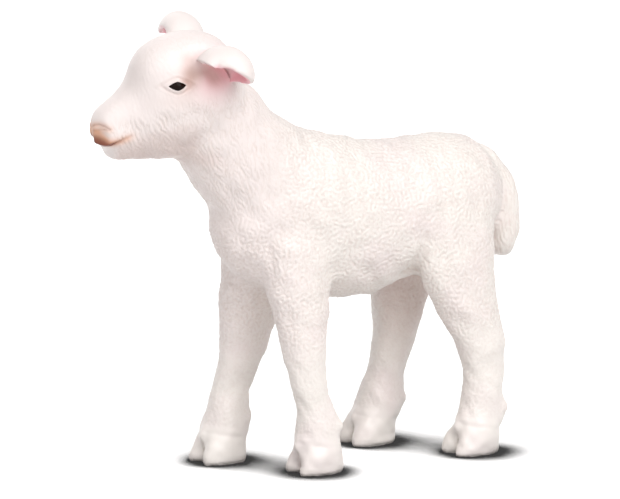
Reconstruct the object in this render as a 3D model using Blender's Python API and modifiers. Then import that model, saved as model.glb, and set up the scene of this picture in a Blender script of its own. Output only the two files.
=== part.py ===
"""Standing lamb, a small farm animal figure moulded in soft vinyl.

The animal is sculpted as one skin, and the skin is then cut into the separate mouldings
that such a figure is glued together from: torso, head with neck, two ears, four legs and
tail. Every moulding has its own peg or root, and what carries it has the matching socket.

The lamb faces -Y, its left side is +X, and its soles stand on the floor at z = 0.
Tables of shares run along a form from one end to the other, as the line above each says.
"""

import math

import bmesh
import bpy
from mathutils import Matrix, Vector

MM = 0.001

# Trunk
TRUNK_LENGTH = 33.0 * MM
TRUNK_DEPTH = 16.0 * MM
TRUNK_WIDTH = 12.4 * MM
BELLY_HEIGHT = 16.0 * MM
BREAST_REACH = 15.4 * MM  # from the middle of the stance forward to the breast
# place along the length, top and bottom within the depth, width
TRUNK_STATION_SHARES = (
    (0.000, 0.72, 0.44, 0.20),
    (0.035, 0.88, 0.31, 0.48),
    (0.105, 1.04, 0.18, 0.75),
    (0.200, 1.16, 0.09, 0.90),
    (0.320, 1.15, 0.04, 0.96),
    (0.450, 1.05, 0.00, 0.99),
    (0.610, 0.99, 0.02, 1.01),
    (0.740, 1.01, 0.11, 0.98),
    (0.850, 1.01, 0.19, 0.92),
    (0.930, 0.94, 0.27, 0.74),
    (0.980, 0.83, 0.38, 0.48),
    (1.000, 0.72, 0.48, 0.22),
)

# Neck
NECK_DEPTH = 10.4 * MM
NECK_WIDTH = 9.2 * MM
# place along the trunk's length, height within the trunk's depth, depth, width
NECK_STATION_SHARES = (
    (0.300, 0.58, 1.00, 0.90),
    (0.215, 0.77, 1.30, 1.06),
    (0.118, 0.93, 1.17, 1.02),
    (0.045, 1.08, 1.04, 0.97),
    (0.005, 1.24, 1.03, 0.94),
    (-0.035, 1.42, 0.92, 0.90),
)
NECK_SEAM_ALONG_SHARE = 0.130
NECK_SEAM_HEIGHT_SHARE = 0.93
NECK_SEAM_RISE = math.radians(47.0)  # the neck's own line, up from level
NECK_PEG_LENGTH = 3.0 * MM
NECK_PEG_WIDTH = 3.2 * MM
NECK_PEG_DEPTH = 4.4 * MM

# Head
HEAD_LENGTH = 15.4 * MM
HEAD_DEPTH = 12.6 * MM
HEAD_WIDTH = 9.4 * MM
HEAD_REACH = 19.7 * MM  # from the middle of the stance forward to between the eyes
HEAD_HEIGHT = 40.2 * MM
HEAD_TURN = math.radians(12.0)
HEAD_BOW = math.radians(14.0)
HEAD_LEAN = math.radians(8.5)
# place ahead of the eyes, top and bottom from the eyes within the depth, width
HEAD_STATION_SHARES = (
    (-0.410, 0.12, -0.34, 0.54),
    (-0.335, 0.27, -0.48, 0.80),
    (-0.200, 0.385, -0.59, 0.97),
    (-0.060, 0.412, -0.64, 1.02),
    (0.080, 0.415, -0.64, 1.00),
    (0.195, 0.375, -0.615, 0.90),
    (0.285, 0.270, -0.575, 0.76),
    (0.350, 0.150, -0.535, 0.66),
    (0.435, 0.060, -0.512, 0.60),
    (0.525, 0.005, -0.490, 0.56),
    (0.598, -0.050, -0.435, 0.51),
    (0.640, -0.110, -0.320, 0.34),
)

# Legs
HOOF_SPREAD = 4.9 * MM  # from the middle plane out to the middle of each hoof
FORE_LEG_HEIGHT = 24.0 * MM
FORE_LEG_DEPTH = 6.0 * MM
FORE_LEG_WIDTH = 4.6 * MM
SHOULDER_REACH = 8.0 * MM  # from the middle of the stance forward to the shoulders
SHOULDER_SPREAD = 3.4 * MM
HIND_LEG_HEIGHT = 25.0 * MM
HIND_LEG_DEPTH = 6.0 * MM
HIND_LEG_WIDTH = 4.8 * MM
HIP_REACH = -9.2 * MM
HIP_SPREAD = 3.6 * MM
# height on the leg, spread from shoulder to hoof, width
FORE_LEG_STATION_SHARES = (
    (1.10, 0.00, 0.60),
    (1.00, 0.00, 0.98),
    (0.86, 0.10, 1.15),
    (0.71, 0.35, 1.09),
    (0.59, 0.60, 0.96),
    (0.49, 0.80, 0.86),
    (0.40, 0.92, 0.76),
    (0.32, 1.00, 0.71),
    (0.25, 1.00, 0.78),
    (0.19, 1.00, 0.90),
    (0.13, 1.00, 1.00),
    (0.035, 1.00, 0.98),
)
HIND_LEG_STATION_SHARES = (
    (1.10, 0.00, 0.60),
    (1.00, 0.00, 1.05),
    (0.84, 0.20, 1.17),
    (0.69, 0.45, 1.10),
    (0.57, 0.70, 0.98),
    (0.48, 0.85, 0.90),
    (0.40, 0.95, 0.82),
    (0.32, 1.00, 0.75),
    (0.24, 1.00, 0.79),
    (0.18, 1.00, 0.88),
    (0.13, 1.00, 0.96),
    (0.035, 1.00, 0.98),
)
# set back and depth of each station, within the depth of the leg
FORE_LEFT_SHARES = (
    (0.00, 0.80), (0.00, 1.28), (0.00, 1.26), (0.04, 1.12), (0.05, 0.88), (0.05, 0.80),
    (0.10, 0.70), (0.18, 0.64), (0.24, 0.70), (0.29, 0.80), (0.28, 0.88), (0.22, 0.80),
)
FORE_RIGHT_SHARES = (
    (-0.03, 0.80), (-0.05, 1.28), (-0.07, 1.30), (-0.09, 1.20), (-0.13, 1.09), (-0.16, 0.97),
    (-0.25, 0.80), (-0.36, 0.73), (-0.45, 0.77), (-0.48, 0.86), (-0.52, 0.96), (-0.64, 0.84),
)
HIND_LEFT_SHARES = (
    (0.02, 1.00), (0.08, 1.74), (0.14, 1.76), (0.22, 1.42), (0.42, 1.12), (0.58, 1.05),
    (0.66, 0.86), (0.69, 0.75), (0.67, 0.75), (0.66, 0.84), (0.58, 0.92), (0.44, 0.82),
)
HIND_RIGHT_SHARES = (
    (0.02, 1.00), (0.06, 1.68), (0.06, 1.62), (0.03, 1.28), (0.00, 1.05), (-0.02, 0.90),
    (-0.08, 0.79), (-0.18, 0.72), (-0.27, 0.78), (-0.32, 0.90), (-0.41, 0.98), (-0.58, 0.84),
)

# Hooves, each of two claws, with a pair of small dewclaws behind the pastern
CLAW_LENGTH = 5.4 * MM
CLAW_WIDTH = 2.7 * MM
CLAW_HEIGHT = 2.9 * MM
CLAW_GAP = 2.40 * MM  # from the middle of one claw to the middle of the other
CLAW_TOE_IN = math.radians(4.0)
CLAW_OVERRUN = 0.8 * MM  # modelled below the floor and cut flat there
# height on the claw, set back, length, width
CLAW_STATION_SHARES = (
    (-0.28, 0.00, 0.96, 0.94),
    (0.05, 0.00, 1.00, 1.00),
    (0.35, 0.03, 0.97, 0.98),
    (0.70, 0.07, 0.88, 0.92),
    (1.00, 0.11, 0.74, 0.80),
    (1.25, 0.13, 0.40, 0.50),
)
DEWCLAW_WIDTH = 1.3 * MM
DEWCLAW_HEIGHT = 1.9 * MM
DEWCLAW_SEAT_SHARE = 0.33  # how far back of the leg's middle it sits, within the leg's depth
DEWCLAW_SPREAD_SHARE = 0.25  # how far out of the leg's middle, within the leg's width
DEWCLAW_STATION = 9  # counted down the leg's own stations
# how far each hoof stands back from the leg's own line, within the leg's depth
HOOF_BACK_SHARES = {
    "foreleg_left": 0.22,
    "foreleg_right": -0.66,
    "hindleg_left": 0.42,
    "hindleg_right": -0.60,
}

# Where the legs are cut from the trunk: an arch over the shoulder or haunch
FORE_ARCH_RADIUS = 4.4 * MM
FORE_ARCH_HEIGHT = 21.2 * MM
FORE_ARCH_SPLAY = 0.0 * MM  # how far the arch's rear foot stands back
HIND_ARCH_RADIUS = 5.0 * MM
HIND_ARCH_HEIGHT = 21.4 * MM
HIND_ARCH_SPLAY = 3.6 * MM
LEG_ARCH_INNER = 0.75 * MM  # from the middle plane, at the height of the belly
LEG_ARCH_LEAN = math.radians(7.0)
LEG_SKIRT_HEIGHT = 13.4 * MM  # below this height the cut takes the whole leg
LEG_SKIRT_REACH = 10.0 * MM
LEG_PEG_LENGTH = 1.9 * MM
LEG_PEG_DIAMETER = 2.2 * MM
LEG_PEG_SPREAD = 3.3 * MM

# Ears
EAR_LENGTH = 7.7 * MM
EAR_WIDTH = 8.0 * MM  # laid out flat
EAR_THICKNESS = 1.2 * MM
# how far each half of an ear bends down from its middle
EAR_CURL = {"left": math.radians(92.0), "right": math.radians(114.0)}
EAR_ROOT_SLOPE = math.radians(35.0)
EAR_TIP_SLOPE = math.radians(-64.0)
# where an ear's root sits from the point between the eyes
EAR_OUT = 2.3 * MM
EAR_LEFT_BACK = 1.35 * MM
EAR_RIGHT_BACK = 1.8 * MM
EAR_LEFT_UP = 2.75 * MM
EAR_RIGHT_UP = 3.45 * MM
EAR_BACK = {"left": EAR_LEFT_BACK, "right": EAR_RIGHT_BACK}
EAR_UP = {"left": EAR_LEFT_UP, "right": EAR_RIGHT_UP}
EAR_SWEEP = {"left": math.radians(52.0), "right": math.radians(28.0)}
EAR_ROLL = {"left": math.radians(38.0), "right": math.radians(22.0)}
# place along the ear, width, thickness, curl
EAR_STATION_SHARES = (
    (0.00, 0.42, 1.10, 0.40),
    (0.12, 0.60, 1.20, 0.62),
    (0.26, 0.88, 1.10, 0.86),
    (0.42, 1.02, 1.00, 0.98),
    (0.60, 1.06, 0.95, 1.00),
    (0.78, 1.00, 0.90, 0.98),
    (0.92, 0.84, 0.85, 0.90),
    (1.00, 0.50, 0.70, 0.70),
)

# Tail
TAIL_LENGTH = 12.2 * MM
TAIL_WIDTH = 4.2 * MM
TAIL_DEPTH = 3.3 * MM
TAIL_REACH = 13.6 * MM  # from the middle of the stance back to the tail's root
TAIL_HEIGHT = 29.3 * MM
# place back from the root and below it within the length, width, depth
TAIL_STATION_SHARES = (
    (-0.02, -0.02, 0.52, 0.60),
    (0.10, -0.02, 0.66, 0.78),
    (0.22, 0.05, 0.80, 0.92),
    (0.32, 0.19, 0.92, 1.00),
    (0.375, 0.36, 1.00, 1.02),
    (0.39, 0.53, 1.02, 1.00),
    (0.385, 0.68, 0.96, 0.94),
    (0.365, 0.80, 0.76, 0.78),
    (0.350, 0.86, 0.40, 0.42),
)

# Fits and the fused skin
SEAM_GAP = 0.28 * MM
CUT_OVERRUN = 12.0 * MM
PEG_ROOT = 0.8 * MM  # how deep a peg starts inside its own moulding
MUSCLE_VOXEL = 0.36 * MM
MUSCLE_SMOOTHING_STEPS = 16
SKIN_VOXEL = 0.25 * MM
SKIN_SMOOTHING_STEPS = 5
SMOOTHING_STRENGTH = 0.5
SKIN_KEPT_SHARE = 0.048
RING_SIDES = 16
ARCH_SIDES = 14
PEG_SIDES = 16

ACROSS = Vector((1.0, 0.0, 0.0))
FORWARD = Vector((0.0, -1.0, 0.0))
UP = Vector((0.0, 0.0, 1.0))
LEFT, RIGHT = 1.0, -1.0
SIDES = {"left": LEFT, "right": RIGHT}


def clear_scene():
    for old in list(bpy.data.objects):
        bpy.data.objects.remove(old, do_unlink=True)


def new_collection(name):
    made = bpy.data.collections.new(name)
    bpy.context.scene.collection.children.link(made)
    return made


def add_object(name, mesh, collection):
    made = bpy.data.objects.new(name, mesh)
    collection.objects.link(made)
    return made


def hide_as_cutter(obj):
    obj.hide_render = True
    obj.display_type = "WIRE"
    return obj


def settled_mesh(obj, name):
    """The object's mesh as its modifiers leave it, in world space."""
    bpy.context.view_layer.update()
    graph = bpy.context.evaluated_depsgraph_get()
    mesh = bpy.data.meshes.new_from_object(obj.evaluated_get(graph))
    mesh.name = name
    mesh.transform(obj.matrix_world)
    return mesh


def ring(centre, across, upward, half_width, half_height):
    """Points round an oval."""
    points = []
    for step in range(RING_SIDES):
        turn = math.tau * step / RING_SIDES
        side = across * (half_width * math.cos(turn))
        points.append(centre + side + upward * (half_height * math.sin(turn)))
    return points


def loft(name, rings, collection):
    """A closed form through rings of points, smoothed between them."""
    form = bmesh.new()
    loops = [[form.verts.new(point) for point in points] for points in rings]
    for near, far in zip(loops, loops[1:]):
        for step in range(len(near)):
            after = (step + 1) % len(near)
            form.faces.new((near[step], near[after], far[after], far[step]))
    form.faces.new(list(reversed(loops[0])))
    form.faces.new(loops[-1])
    bmesh.ops.recalc_face_normals(form, faces=form.faces)
    mesh = bpy.data.meshes.new(name)
    form.to_mesh(mesh)
    form.free()
    made = hide_as_cutter(add_object(name, mesh, collection))
    smoothing = made.modifiers.new("smoothing", "SUBSURF")
    smoothing.levels = smoothing.render_levels = 1
    return made


def trunk_place(along, height):
    """A point on the middle plane, along the trunk and within its depth."""
    return FORWARD * (BREAST_REACH - along * TRUNK_LENGTH) + UP * (BELLY_HEIGHT + height * TRUNK_DEPTH)


def trunk_form(collection):
    rings = []
    for along, top, bottom, width in TRUNK_STATION_SHARES:
        centre = trunk_place(along, (top + bottom) / 2)
        rings.append(ring(centre, ACROSS, UP, width * TRUNK_WIDTH / 2, (top - bottom) / 2 * TRUNK_DEPTH))
    return loft("trunk_form", rings, collection)


def rings_along(places, depths, widths):
    """Rings square to a line of places on the middle plane."""
    rings = []
    for index, place in enumerate(places):
        before = places[max(index - 1, 0)]
        after = places[min(index + 1, len(places) - 1)]
        along = (after - before).normalized()
        upward = ACROSS.cross(along).normalized()
        rings.append(ring(place, ACROSS, upward, widths[index] / 2, depths[index] / 2))
    return rings


def neck_form(collection):
    places = [trunk_place(along, height) for along, height, _, _ in NECK_STATION_SHARES]
    depths = [depth * NECK_DEPTH for _, _, depth, _ in NECK_STATION_SHARES]
    widths = [width * NECK_WIDTH for _, _, _, width in NECK_STATION_SHARES]
    return loft("neck_form", rings_along(places, depths, widths), collection)


def head_frame():
    """Turns and places a form modelled about the point between the eyes, facing -Y."""
    turn = Matrix.Rotation(-HEAD_TURN, 4, "Z")
    bow = Matrix.Rotation(HEAD_BOW, 4, "X")
    lean = Matrix.Rotation(HEAD_LEAN, 4, "Y")
    return Matrix.Translation(FORWARD * HEAD_REACH + UP * HEAD_HEIGHT) @ turn @ bow @ lean


def head_form(collection):
    rings = []
    for along, top, bottom, width in HEAD_STATION_SHARES:
        centre = FORWARD * (along * HEAD_LENGTH) + UP * ((top + bottom) / 2 * HEAD_DEPTH)
        rings.append(ring(centre, ACROSS, UP, width * HEAD_WIDTH / 2, (top - bottom) / 2 * HEAD_DEPTH))
    made = loft("head_form", rings, collection)
    made.data.transform(head_frame())
    return made


LEGS = {
    "foreleg_left": (LEFT, "fore", FORE_LEFT_SHARES),
    "foreleg_right": (RIGHT, "fore", FORE_RIGHT_SHARES),
    "hindleg_left": (LEFT, "hind", HIND_LEFT_SHARES),
    "hindleg_right": (RIGHT, "hind", HIND_RIGHT_SHARES),
}
LEG_PAIRS = {
    "fore": (
        SHOULDER_REACH, SHOULDER_SPREAD, FORE_LEG_HEIGHT, FORE_LEG_DEPTH, FORE_LEG_WIDTH,
        FORE_LEG_STATION_SHARES,
    ),
    "hind": (
        HIP_REACH, HIP_SPREAD, HIND_LEG_HEIGHT, HIND_LEG_DEPTH, HIND_LEG_WIDTH,
        HIND_LEG_STATION_SHARES,
    ),
}
LEG_ARCHES = {
    "fore": (FORE_ARCH_RADIUS, FORE_ARCH_HEIGHT, FORE_ARCH_SPLAY),
    "hind": (HIND_ARCH_RADIUS, HIND_ARCH_HEIGHT, HIND_ARCH_SPLAY),
}


def leg_stations(name):
    """The place, depth and width of each station down one leg."""
    side, pair, own_shares = LEGS[name]
    reach, spread, height, depth, width, shares = LEG_PAIRS[pair]
    stations = []
    for (up, out, wide), (back, deep) in zip(shares, own_shares):
        place = FORWARD * (reach - back * depth) + UP * (up * height)
        place += ACROSS * side * (spread + (HOOF_SPREAD - spread) * out)
        stations.append((place, deep * depth, wide * width))
    return stations


def leg_form(name, collection):
    rings = [
        ring(place, ACROSS, -FORWARD, width / 2, depth / 2) for place, depth, width in leg_stations(name)
    ]
    return loft(name + "_form", rings, collection)


def hoof_forms(name, collection):
    """Two claws side by side on the floor and two dewclaws behind the pastern."""
    side, pair, _ = LEGS[name]
    reach, _, _, depth, _, _ = LEG_PAIRS[pair]
    middle = FORWARD * (reach - HOOF_BACK_SHARES[name] * depth) + ACROSS * side * HOOF_SPREAD
    made = []
    for claw in (LEFT, RIGHT):
        rings = []
        for up, back, length, width in CLAW_STATION_SHARES:
            centre = -FORWARD * (back * CLAW_LENGTH) + UP * (up * CLAW_HEIGHT)
            rings.append(ring(centre, ACROSS, -FORWARD, width * CLAW_WIDTH / 2, length * CLAW_LENGTH / 2))
        form = loft(name + "_claw", rings, collection)
        place = Matrix.Translation(middle + ACROSS * claw * CLAW_GAP / 2)
        form.data.transform(place @ Matrix.Rotation(claw * CLAW_TOE_IN, 4, "Z"))
        made.append(form)
    place, leg_depth, leg_width = leg_stations(name)[DEWCLAW_STATION]
    for claw in (LEFT, RIGHT):
        form = bmesh.new()
        bmesh.ops.create_icosphere(form, subdivisions=2, radius=DEWCLAW_WIDTH / 2)
        mesh = bpy.data.meshes.new(name + "_dewclaw")
        form.to_mesh(mesh)
        form.free()
        mesh.transform(Matrix.Diagonal((1.0, 1.0, DEWCLAW_HEIGHT / DEWCLAW_WIDTH, 1.0)))
        seat = place - FORWARD * (leg_depth * DEWCLAW_SEAT_SHARE)
        seat += ACROSS * (claw * leg_width * DEWCLAW_SPREAD_SHARE)
        mesh.transform(Matrix.Translation(seat))
        made.append(hide_as_cutter(add_object(name + "_dewclaw", mesh, collection)))
    return made


def fuse(name, forms, voxel, smoothing_steps, collection):
    """One closed skin round all the forms, with the creases between them faired."""
    joined = bmesh.new()
    for form in forms:
        mesh = settled_mesh(form, form.name + "_settled")
        joined.from_mesh(mesh)
        bpy.data.meshes.remove(mesh)
    mesh = bpy.data.meshes.new(name)
    joined.to_mesh(mesh)
    joined.free()
    made = hide_as_cutter(add_object(name, mesh, collection))
    remesh = made.modifiers.new("one skin", "REMESH")
    remesh.mode = "VOXEL"
    remesh.voxel_size = voxel
    fairing = made.modifiers.new("fairing", "SMOOTH")
    fairing.factor = SMOOTHING_STRENGTH
    fairing.iterations = smoothing_steps
    return made


def sculpt_skin(collection):
    """The whole animal but for ears and tail, as one light closed mesh."""
    muscles = [trunk_form(collection), neck_form(collection), head_form(collection)]
    muscles += [leg_form(name, collection) for name in LEGS]
    body = fuse("body_form", muscles, MUSCLE_VOXEL, MUSCLE_SMOOTHING_STEPS, collection)
    parts = [body]
    for name in LEGS:
        parts += hoof_forms(name, collection)
    skin = fuse("skin_form", parts, SKIN_VOXEL, SKIN_SMOOTHING_STEPS, collection)
    lighter = skin.modifiers.new("fewer faces", "DECIMATE")
    lighter.ratio = SKIN_KEPT_SHARE
    return skin


def ear_form(name, side_name, extra, collection):
    """One ear, a leaf whose edges curl down and whose length arches from its root inside the head
    to its tip. extra enlarges it all round."""
    rings = []
    last = len(EAR_STATION_SHARES) - 1
    arch = EAR_TIP_SLOPE - EAR_ROOT_SLOPE
    for index, (along, width, thickness, curl) in enumerate(EAR_STATION_SHARES):
        slope = EAR_ROOT_SLOPE + arch * along
        outward = Vector((math.cos(slope), 0.0, math.sin(slope)))
        upward = Vector((-math.sin(slope), 0.0, math.cos(slope)))
        run = math.sin(slope) - math.sin(EAR_ROOT_SLOPE)
        rise = math.cos(EAR_ROOT_SLOPE) - math.cos(slope)
        centre = Vector((run, 0.0, rise)) * EAR_LENGTH / arch
        if index == 0:
            centre -= outward * extra
        if index == last:
            centre += outward * extra
        half_width = width * EAR_WIDTH / 2 + extra
        half_thickness = thickness * EAR_THICKNESS / 2 + extra
        half_curl = curl * EAR_CURL[side_name]
        bend = half_width / half_curl
        points = []
        for step in range(RING_SIDES):
            turn = math.tau * step / RING_SIDES
            spot = math.cos(turn) * half_curl
            reach = bend + half_thickness * math.sin(turn)
            side = Vector((0.0, reach * math.sin(spot), 0.0))
            points.append(centre + side + upward * (reach * math.cos(spot) - bend))
        rings.append(points)
    made = loft(name, rings, collection)
    sweep = Matrix.Rotation(EAR_SWEEP[side_name], 4, "Z")
    roll = Matrix.Rotation(-EAR_ROLL[side_name], 4, "X")
    seat = ACROSS * EAR_OUT - FORWARD * EAR_BACK[side_name] + UP * EAR_UP[side_name]
    mirror = Matrix.Diagonal((SIDES[side_name], 1.0, 1.0, 1.0))
    made.data.transform(head_frame() @ mirror @ Matrix.Translation(seat) @ sweep @ roll)
    if SIDES[side_name] == RIGHT:
        made.data.flip_normals()
    return made


def tail_form(name, extra, collection):
    """The tail, from its root inside the rump down to its tip. extra enlarges it all round."""
    places, depths, widths = [], [], []
    for back, below, width, depth in TAIL_STATION_SHARES:
        place = UP * (TAIL_HEIGHT - below * TAIL_LENGTH) - FORWARD * (TAIL_REACH + back * TAIL_LENGTH)
        places.append(place)
        depths.append(depth * TAIL_DEPTH + 2 * extra)
        widths.append(width * TAIL_WIDTH + 2 * extra)
    places[0] = places[0] + FORWARD * extra
    places[-1] = places[-1] - UP * extra
    return loft(name, rings_along(places, depths, widths), collection)


def leg_zone(name, extra, collection):
    """The block of space that belongs to one leg: an arch that runs down to the floor."""
    side, pair, _ = LEGS[name]
    radius, height, splay = LEG_ARCHES[pair]
    middle = -LEG_PAIRS[pair][0]
    wide = LEG_SKIRT_REACH + extra
    skirt = LEG_SKIRT_HEIGHT + extra
    foot_back = radius + extra + splay
    outline = [(-wide, -CLAW_OVERRUN), (-wide, skirt), (-radius - extra, skirt)]
    lean = math.atan2(splay, height - skirt)
    for step in range(ARCH_SIDES + 1):
        turn = math.pi - (math.pi - lean) * step / ARCH_SIDES
        outline.append(((radius + extra) * math.cos(turn), height + (radius + extra) * math.sin(turn)))
    outline += [(foot_back, skirt), (max(wide, foot_back), skirt), (max(wide, foot_back), -CLAW_OVERRUN)]
    form = bmesh.new()
    inner = LEG_ARCH_INNER - extra
    faces = []
    for out in (inner, inner + CUT_OVERRUN):
        points = [form.verts.new((out, middle + back, up)) for back, up in outline]
        faces.append(points)
        form.faces.new(points)
    for step in range(len(outline)):
        after = (step + 1) % len(outline)
        form.faces.new((faces[0][step], faces[0][after], faces[1][after], faces[1][step]))
    mesh = bpy.data.meshes.new(name + "_zone")
    seat = Matrix.Translation(ACROSS * inner + UP * BELLY_HEIGHT)
    leaned = seat @ Matrix.Rotation(LEG_ARCH_LEAN, 4, "Y") @ seat.inverted()
    mirror = Matrix.Diagonal((side, 1.0, 1.0, 1.0))
    bmesh.ops.transform(form, matrix=mirror @ leaned, verts=form.verts)
    bmesh.ops.recalc_face_normals(form, faces=form.faces)
    form.to_mesh(mesh)
    form.free()
    return hide_as_cutter(add_object(name + "_zone", mesh, collection))


def block(name, size, place, collection):
    """A box of the given size whose transform is place."""
    form = bmesh.new()
    bmesh.ops.create_cube(form, size=1.0)
    mesh = bpy.data.meshes.new(name)
    form.to_mesh(mesh)
    form.free()
    mesh.transform(place @ Matrix.Diagonal((*size, 1.0)))
    return hide_as_cutter(add_object(name, mesh, collection))


def peg(name, width, depth, length, place, collection):
    """An oval peg with its foot at the origin of place, standing along that frame's Z."""
    form = bmesh.new()
    bmesh.ops.create_cone(form, cap_ends=True, segments=PEG_SIDES, radius1=0.5, radius2=0.5, depth=1.0)
    mesh = bpy.data.meshes.new(name)
    form.to_mesh(mesh)
    form.free()
    lift = Matrix.Translation(UP * length / 2)
    mesh.transform(place @ lift @ Matrix.Diagonal((width, depth, length, 1.0)))
    return hide_as_cutter(add_object(name, mesh, collection))


def neck_seam_frame():
    """The middle of the neck's seam, with Z along the neck towards the head."""
    place = trunk_place(NECK_SEAM_ALONG_SHARE, NECK_SEAM_HEIGHT_SHARE)
    return Matrix.Translation(place) @ Matrix.Rotation(math.pi / 2 - NECK_SEAM_RISE, 4, "X")


def neck_zone(extra, collection):
    """The block of space ahead of the neck's seam."""
    reach = NECK_DEPTH + CUT_OVERRUN
    seat = neck_seam_frame() @ Matrix.Translation(UP * (reach - extra))
    return block("neck_zone", (2 * reach, 2 * reach, 2 * reach), seat, collection)


def neck_peg(extra, collection):
    """The peg under the head moulding, from inside the neck down into the torso."""
    down = neck_seam_frame() @ Matrix.Rotation(math.pi, 4, "X") @ Matrix.Translation(-UP * PEG_ROOT)
    length = PEG_ROOT + NECK_PEG_LENGTH + extra
    size = (NECK_PEG_WIDTH + 2 * extra, NECK_PEG_DEPTH + 2 * extra)
    return peg("neck_peg", *size, length, down, collection)


def leg_peg(name, extra, collection):
    """The peg on the crown of a leg's arch, upward into the torso."""
    side, pair, _ = LEGS[name]
    radius, height, _ = LEG_ARCHES[pair]
    foot = FORWARD * LEG_PAIRS[pair][0] + ACROSS * side * LEG_PEG_SPREAD + UP * (height + radius - PEG_ROOT)
    length = PEG_ROOT + LEG_PEG_LENGTH + extra
    size = LEG_PEG_DIAMETER + 2 * extra
    return peg(name + "_peg", size, size, length, Matrix.Translation(foot), collection)


def combine(obj, operation, other):
    step = obj.modifiers.new(operation.lower() + " " + other.name, "BOOLEAN")
    step.operation = operation
    step.object = other
    step.solver = "EXACT"


def vinyl(name, colour, roughness):
    """Soft vinyl of one colour, with a little gloss."""
    made = bpy.data.materials.new(name)
    made.use_nodes = True
    shader = made.node_tree.nodes["Principled BSDF"]
    shader.inputs["Base Color"].default_value = (*colour, 1.0)
    shader.inputs["Roughness"].default_value = roughness
    shader.inputs["Metallic"].default_value = 0.0
    made.diffuse_color = (*colour, 1.0)
    return made


def moulding(name, mesh, material, collection):
    """A sub-part of the figure, with its own mesh and material."""
    made = add_object(name, mesh, collection)
    made.data.materials.clear()
    made.data.materials.append(material)
    return made


WOOL_WHITE = (0.96, 0.93, 0.90)
FACE_WHITE = (0.93, 0.86, 0.84)
EAR_WHITE = (0.92, 0.86, 0.84)
LEG_WHITE = (0.91, 0.86, 0.83)
TAIL_WHITE = (0.94, 0.90, 0.87)
WOOL_ROUGHNESS = 0.50
SMOOTH_ROUGHNESS = 0.38

clear_scene()
parts = new_collection("lamb_figure")
cutters = new_collection("cutters")
skin = settled_mesh(sculpt_skin(cutters), "skin")

torso = moulding("torso", skin, vinyl("torso_vinyl", WOOL_WHITE, WOOL_ROUGHNESS), parts)
combine(torso, "DIFFERENCE", neck_zone(SEAM_GAP, cutters))
combine(torso, "DIFFERENCE", neck_peg(SEAM_GAP, cutters))
combine(torso, "DIFFERENCE", tail_form("tail_seat", SEAM_GAP, cutters))

head = moulding("head_and_neck", skin.copy(), vinyl("head_vinyl", FACE_WHITE, SMOOTH_ROUGHNESS), parts)
combine(head, "INTERSECT", neck_zone(0.0, cutters))
combine(head, "UNION", neck_peg(0.0, cutters))

for side_name in SIDES:
    name = "ear_" + side_name
    ear = settled_mesh(ear_form(name + "_form", side_name, 0.0, cutters), name)
    moulding(name, ear, vinyl(name + "_vinyl", EAR_WHITE, SMOOTH_ROUGHNESS), parts)
    combine(head, "DIFFERENCE", ear_form(name + "_seat", side_name, SEAM_GAP, cutters))

for name in LEGS:
    leg = moulding(name, skin.copy(), vinyl(name + "_vinyl", LEG_WHITE, SMOOTH_ROUGHNESS), parts)
    combine(leg, "INTERSECT", leg_zone(name, 0.0, cutters))
    combine(leg, "UNION", leg_peg(name, 0.0, cutters))
    floor_reach = TRUNK_LENGTH + CUT_OVERRUN
    below = Matrix.Translation(-UP * floor_reach)
    floor = block("below_floor", (2 * floor_reach, 2 * floor_reach, 2 * floor_reach), below, cutters)
    combine(leg, "DIFFERENCE", floor)
    combine(torso, "DIFFERENCE", leg_zone(name, SEAM_GAP, cutters))
    combine(torso, "DIFFERENCE", leg_peg(name, SEAM_GAP, cutters))

tail = settled_mesh(tail_form("tail_form", 0.0, cutters), "tail")
moulding("tail", tail, vinyl("tail_vinyl", TAIL_WHITE, WOOL_ROUGHNESS), parts)

# Everything moves so that the figure stands over the middle of the floor that it covers
reached = []
for part in parts.objects:
    outline = settled_mesh(part, "outline")
    reached += [vertex.co.copy() for vertex in outline.vertices]
    bpy.data.meshes.remove(outline)
    part.data.shade_smooth()
stand = add_object("stand", None, bpy.context.scene.collection)
stand.location.x = -(min(point.x for point in reached) + max(point.x for point in reached)) / 2
stand.location.y = -(min(point.y for point in reached) + max(point.y for point in reached)) / 2
for obj in (*parts.objects, *cutters.objects):
    obj.parent = stand
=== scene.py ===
"""A small standing lamb in soft vinyl, with its fleece, face and paint, stood on a white table."""

import math

import bmesh
import bpy
import numpy as np
from mathutils import Matrix, Vector
from mathutils.bvhtree import BVHTree


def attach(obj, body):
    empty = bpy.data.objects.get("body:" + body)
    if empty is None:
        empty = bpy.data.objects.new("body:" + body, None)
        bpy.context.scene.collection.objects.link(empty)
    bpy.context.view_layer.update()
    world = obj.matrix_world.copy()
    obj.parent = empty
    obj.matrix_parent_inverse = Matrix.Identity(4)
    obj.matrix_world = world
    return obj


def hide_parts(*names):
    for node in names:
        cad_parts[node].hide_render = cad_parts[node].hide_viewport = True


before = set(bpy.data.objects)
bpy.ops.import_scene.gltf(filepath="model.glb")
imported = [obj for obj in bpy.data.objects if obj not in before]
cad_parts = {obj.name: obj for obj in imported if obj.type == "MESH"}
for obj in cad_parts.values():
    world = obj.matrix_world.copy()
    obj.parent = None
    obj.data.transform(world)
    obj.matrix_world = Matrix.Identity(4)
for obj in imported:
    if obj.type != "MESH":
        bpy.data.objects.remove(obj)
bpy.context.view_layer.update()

# The carved master
# The maker carves the lamb in one piece and takes the moulds of trunk, head, legs and tail from
# it, so the wool runs on across the joints. It is faired here over the plain mouldings, with the
# head's two ear sockets filled. Only the ears are made apart from it.
MM = 0.001
HEAD_MIDDLE = (-0.644, -15.429, 40.2)  # mm, between the eyes
HEAD_TURN = math.radians(12.0)
HEAD_BOW = math.radians(14.0)
HEAD_LEAN = math.radians(8.5)
EAR_SOCKET = (2.1, 1.6, 2.3)  # mm, left or right, back and up of the middle
EAR_SOCKET_FILL = (2.0, 2.4, 1.5)  # mm
SEAM_FILL = 0.30 * MM
WELD = 0.001 * MM
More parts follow.
